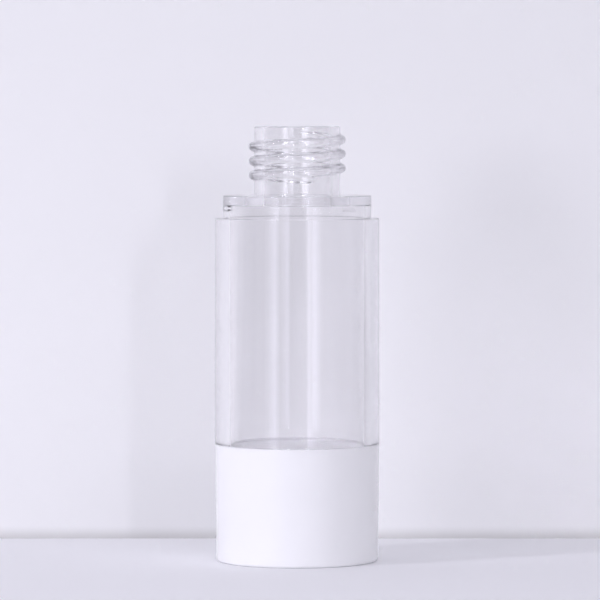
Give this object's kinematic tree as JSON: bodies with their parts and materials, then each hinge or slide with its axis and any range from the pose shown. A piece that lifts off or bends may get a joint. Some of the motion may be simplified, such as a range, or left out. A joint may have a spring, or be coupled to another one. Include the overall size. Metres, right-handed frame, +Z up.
{
  "type": "airless bottle",
  "caption": "Clear cylindrical airless bottle with an open threaded neck, a white push-fit base cup and a follower piston that slides up the bore as product is drawn off.",
  "frame": {"origin": "centre of the foot ring, on the surface that the bottle stands on", "axes": "+Z up along the axis of the bore, -Y towards the picture's viewer, +X to the viewer's right"},
  "size_m": [0.033, 0.033, 0.0869],
  "materials": {
    "clear_plastic": "clear moulded, polished",
    "white_plastic": "opaque white moulded, gloss",
    "piston_plastic": "opaque white moulded, waxy"
  },
  "bodies": {
    "bottle": {"bottle_body": "clear_plastic", "base_cup": "white_plastic"},
    "piston": {"follower_piston": "piston_plastic"}
  },
  "joints": [
    {"name": "piston_slide", "type": "slide", "parent": "bottle", "child": "piston", "axis": [0, 0, 1], "range_m": [0, 0.0523]}
  ]
}
